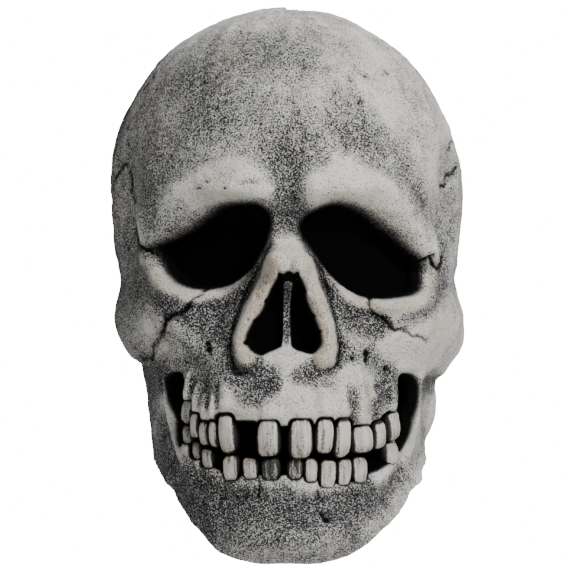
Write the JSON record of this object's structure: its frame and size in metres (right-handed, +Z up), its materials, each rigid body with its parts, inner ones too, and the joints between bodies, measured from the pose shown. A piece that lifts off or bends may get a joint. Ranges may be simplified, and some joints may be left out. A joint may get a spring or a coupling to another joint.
{
  "type": "full-head latex mask",
  "caption": "Full-head latex skull mask with open eye sockets, teeth on a black tray, foam head pads and a hook-and-loop strap over a slit at the nape.",
  "frame": {"origin": "the point under the crown pad where the top of the wearer's head bears", "axes": "+Z up, +X to the viewer's right as the face is looked at, the face looks along -Y"},
  "size_m": [0.184, 0.2249, 0.2862],
  "materials": {
    "latex": "matt painted latex, bone white over a blue-black wash",
    "teeth": "painted cast latex, satin",
    "screen_cloth": "black screen cloth",
    "foam": "open-cell foam",
    "tape": "cotton tape soaked in latex",
    "webbing": "black woven webbing",
    "hook_side": "hook tape",
    "loop_side": "loop tape",
    "label": "blank woven label"
  },
  "bodies": {
    "mask": {"face_skin": "latex", "back_skin": "latex", "seam_tape": "tape", "edge_tape_face": "tape", "edge_tape_back": "tape", "slit_tape_left": "tape", "slit_tape_right": "tape", "eye_screen_left": "screen_cloth", "eye_screen_right": "screen_cloth", "nose_screen": "screen_cloth", "mouth_tray": "screen_cloth", "strap_anchor": "webbing", "loop_patch": "loop_side", "care_label": "label", "upper_tooth_01": "teeth", "upper_tooth_02": "teeth", "upper_tooth_03": "teeth", "upper_tooth_04": "teeth", "upper_tooth_05": "teeth", "upper_tooth_06": "teeth", "upper_tooth_07": "teeth", "upper_tooth_08": "teeth", "upper_tooth_09": "teeth", "upper_tooth_10": "teeth", "upper_tooth_11": "teeth", "upper_tooth_12": "teeth", "lower_tooth_01": "teeth", "lower_tooth_02": "teeth", "lower_tooth_03": "teeth", "lower_tooth_04": "teeth", "lower_tooth_05": "teeth", "lower_tooth_06": "teeth", "lower_tooth_07": "teeth", "lower_tooth_08": "teeth", "lower_tooth_09": "teeth", "lower_tooth_10": "teeth", "lower_tooth_11": "teeth", "lower_tooth_12": "teeth", "crown_pad": "foam", "brow_pad": "foam", "side_pad_right": "foam", "side_pad_left": "foam", "nape_pad": "foam", "chin_pad": "foam"},
    "strap": {"strap_flap": "webbing", "hook_patch": "hook_side"}
  },
  "joints": [
    {"name": "strap_peel", "type": "hinge", "parent": "mask", "child": "strap", "pos_m": [-0.01705, 0.08956, -0.2029], "axis": [0.0013, 0.2467, 0.9691], "range_deg": [0, 140]}
  ]
}
